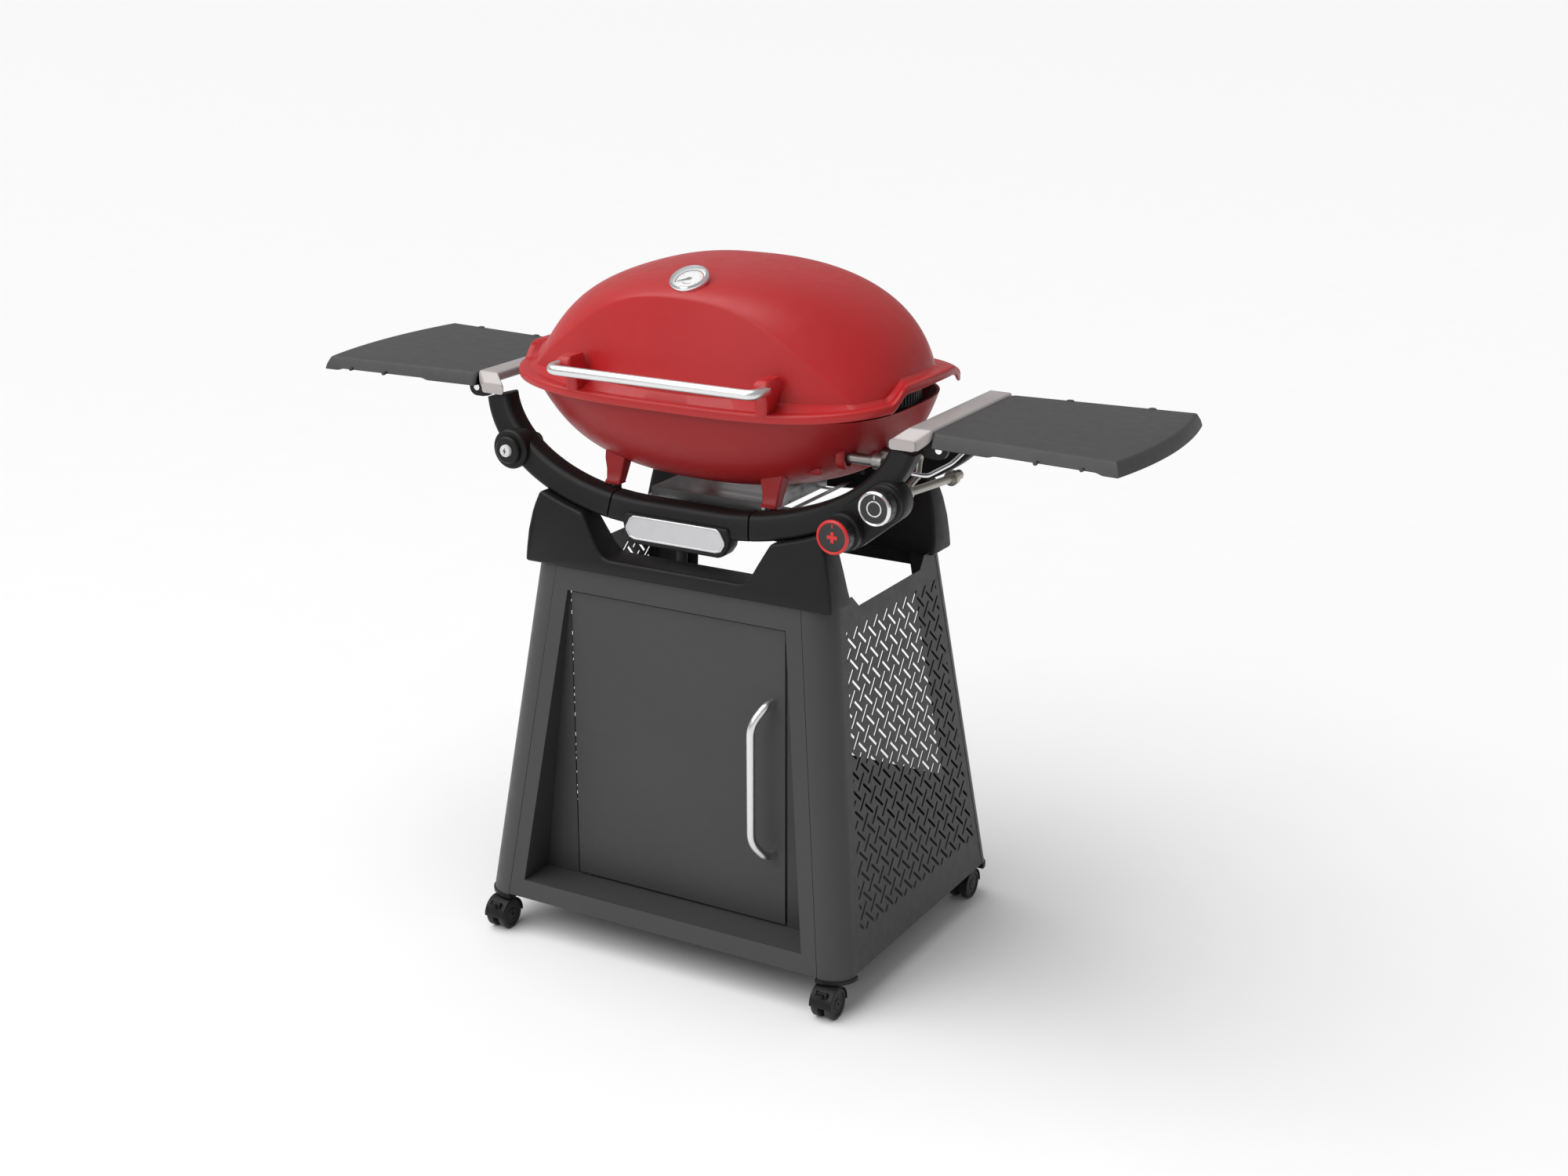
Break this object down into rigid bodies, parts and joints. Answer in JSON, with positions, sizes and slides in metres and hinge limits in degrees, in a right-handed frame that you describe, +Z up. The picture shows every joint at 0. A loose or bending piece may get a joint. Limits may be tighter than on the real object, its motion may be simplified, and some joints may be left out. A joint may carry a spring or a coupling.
{
  "type": "gas barbecue grill",
  "caption": "Gas barbecue with a red domed cast lid and bowl in a curved cradle, folding side tables and a leaning cabinet cart with a door, perforated sides and castors.",
  "frame": {"origin": "on the floor under the middle of the grill", "axes": "+X to the viewer's right, along the two side tables; +Y to the back; +Z up; the door and controls face -Y"},
  "size_m": [1.3554, 0.528, 1.0472],
  "materials": {
    "charcoal_steel": "fine-textured satin powder coat",
    "black_plastic": "moulded, fine grain",
    "table_plastic": "moulded, fine grain",
    "strip_grey": "satin metallic warm grey",
    "red_enamel": "satin red enamel on cast aluminium",
    "steel_tube": "brushed along the tube",
    "chrome": "polished",
    "aluminium": "plain rolled sheet",
    "badge_metal": "brushed, dark blank panel",
    "cast_iron": "matt enamel",
    "burner_steel": "heat-dulled",
    "brass": "plain machined",
    "ceramic": "white ceramic",
    "white_plastic": "smooth",
    "knob_plastic": "satin black",
    "castor_plastic": "moulded",
    "wheel_plastic": "hard plastic tread",
    "dial": "printed dial",
    "glass": "clear",
    "needle_metal": "matt"
  },
  "bodies": {
    "cart": {"leg_front_left": "charcoal_steel", "leg_front_right": "charcoal_steel", "leg_rear_left": "charcoal_steel", "leg_rear_right": "charcoal_steel", "leg_caps": "black_plastic", "front_frame": "charcoal_steel", "base_shelf": "charcoal_steel", "side_panel_left": "charcoal_steel", "side_panel_right": "charcoal_steel", "rear_frame": "charcoal_steel", "trim_front": "black_plastic", "trim_rear": "black_plastic", "door_pins": "chrome", "door_catch": "black_plastic", "rail_centre": "black_plastic", "rail_left": "black_plastic", "rail_right": "black_plastic", "rail_rear": "black_plastic", "badge": "badge_metal", "strip_left": "strip_grey", "strip_right": "strip_grey", "table_brackets": "black_plastic", "cookbox": "red_enamel", "vent_mesh": "black_plastic", "grate_left": "cast_iron", "grate_right": "cast_iron", "burner_main": "burner_steel", "burner_small": "burner_steel", "manifold": "brass", "gas_inlet": "brass", "igniter_box": "black_plastic", "electrode": "ceramic", "drip_holder": "aluminium", "hose_hook": "chrome", "lid_pins": "chrome"},
    "lid": {"lid": "red_enamel", "lid_handle": "steel_tube", "thermometer_case": "chrome", "thermometer_dial": "dial", "thermometer_glass": "glass"},
    "needle": {"thermometer_needle": "needle_metal"},
    "door": {"door_panel": "charcoal_steel", "door_handle": "steel_tube"},
    "table_left": {"table_left": "table_plastic"},
    "table_right": {"table_right": "table_plastic"},
    "knob_main": {"knob_main": "knob_plastic"},
    "knob_small": {"knob_small": "knob_plastic"},
    "igniter_button": {"igniter_button": "white_plastic"},
    "drip_tray": {"drip_tray": "aluminium"},
    "brake_left": {"brake_left": "castor_plastic"},
    "brake_right": {"brake_right": "castor_plastic"},
    "castor_front_left": {"castor_front_left": "castor_plastic"},
    "wheels_front_left": {"wheels_front_left": "wheel_plastic"},
    "castor_front_right": {"castor_front_right": "castor_plastic"},
    "wheels_front_right": {"wheels_front_right": "wheel_plastic"},
    "castor_rear_left": {"castor_rear_left": "castor_plastic"},
    "wheels_rear_left": {"wheels_rear_left": "wheel_plastic"},
    "castor_rear_right": {"castor_rear_right": "castor_plastic"},
    "wheels_rear_right": {"wheels_rear_right": "wheel_plastic"}
  },
  "joints": [
    {"name": "lid_open", "type": "hinge", "parent": "cart", "child": "lid", "pos_m": [0, 0.214, 0.866], "axis": [-1, 0, 0], "range_deg": [0, 95]},
    {"name": "needle_turn", "type": "hinge", "parent": "lid", "child": "needle", "pos_m": [0, -0.128, 1.026], "axis": [0, 0.454, -0.891], "range_deg": [0, 240]},
    {"name": "door_open", "type": "hinge", "parent": "cart", "child": "door", "pos_m": [-0.172, -0.172, 0.3], "axis": [0, 0, -1], "range_deg": [0, 110]},
    {"name": "table_left_fold", "type": "hinge", "parent": "cart", "child": "table_left", "pos_m": [-0.39, 0, 0.829], "axis": [0, -1, 0], "range_deg": [0, 90]},
    {"name": "table_right_fold", "type": "hinge", "parent": "cart", "child": "table_right", "pos_m": [0.39, 0, 0.829], "axis": [0, 1, 0], "range_deg": [0, 90]},
    {"name": "knob_main_turn", "type": "hinge", "parent": "cart", "child": "knob_main", "pos_m": [0.328, -0.18, 0.755], "axis": [0, -1, 0], "range_deg": [0, 180]},
    {"name": "knob_small_turn", "type": "hinge", "parent": "cart", "child": "knob_small", "pos_m": [0.27, -0.19, 0.709], "axis": [0, -1, 0], "range_deg": [0, 180]},
    {"name": "igniter_press", "type": "slide", "parent": "cart", "child": "igniter_button", "axis": [0, 1, 0], "range_m": [0, 0.004], "stiffness_N_per_m": 600},
    {"name": "tray_slide", "type": "slide", "parent": "cart", "child": "drip_tray", "axis": [-1, 0, 0], "range_m": [0, 0.3]},
    {"name": "castor_front_left_swivel", "type": "hinge", "parent": "cart", "child": "castor_front_left", "pos_m": [-0.29, -0.222, 0.06], "axis": [0, 0, 1], "continuous": true},
    {"name": "wheels_front_left_spin", "type": "hinge", "parent": "castor_front_left", "child": "wheels_front_left", "pos_m": [-0.29, -0.24, 0.0235], "axis": [1, 0, 0], "continuous": true},
    {"name": "castor_front_right_swivel", "type": "hinge", "parent": "cart", "child": "castor_front_right", "pos_m": [0.29, -0.222, 0.06], "axis": [0, 0, 1], "continuous": true},
    {"name": "wheels_front_right_spin", "type": "hinge", "parent": "castor_front_right", "child": "wheels_front_right", "pos_m": [0.29, -0.24, 0.0235], "axis": [1, 0, 0], "continuous": true},
    {"name": "castor_rear_left_swivel", "type": "hinge", "parent": "cart", "child": "castor_rear_left", "pos_m": [-0.29, 0.232, 0.06], "axis": [0, 0, 1], "continuous": true},
    {"name": "wheels_rear_left_spin", "type": "hinge", "parent": "castor_rear_left", "child": "wheels_rear_left", "pos_m": [-0.29, 0.214, 0.0235], "axis": [1, 0, 0], "continuous": true},
    {"name": "castor_rear_right_swivel", "type": "hinge", "parent": "cart", "child": "castor_rear_right", "pos_m": [0.29, 0.232, 0.06], "axis": [0, 0, 1], "continuous": true},
    {"name": "wheels_rear_right_spin", "type": "hinge", "parent": "castor_rear_right", "child": "wheels_rear_right", "pos_m": [0.29, 0.214, 0.0235], "axis": [1, 0, 0], "continuous": true},
    {"name": "brake_left_press", "type": "hinge", "parent": "castor_front_left", "child": "brake_left", "pos_m": [-0.29, -0.26, 0.0435], "axis": [1, 0, 0], "range_deg": [0, 18], "stiffness_Nm_per_rad": 0.02},
    {"name": "brake_right_press", "type": "hinge", "parent": "castor_front_right", "child": "brake_right", "pos_m": [0.29, -0.26, 0.0435], "axis": [1, 0, 0], "range_deg": [0, 18], "stiffness_Nm_per_rad": 0.02}
  ]
}
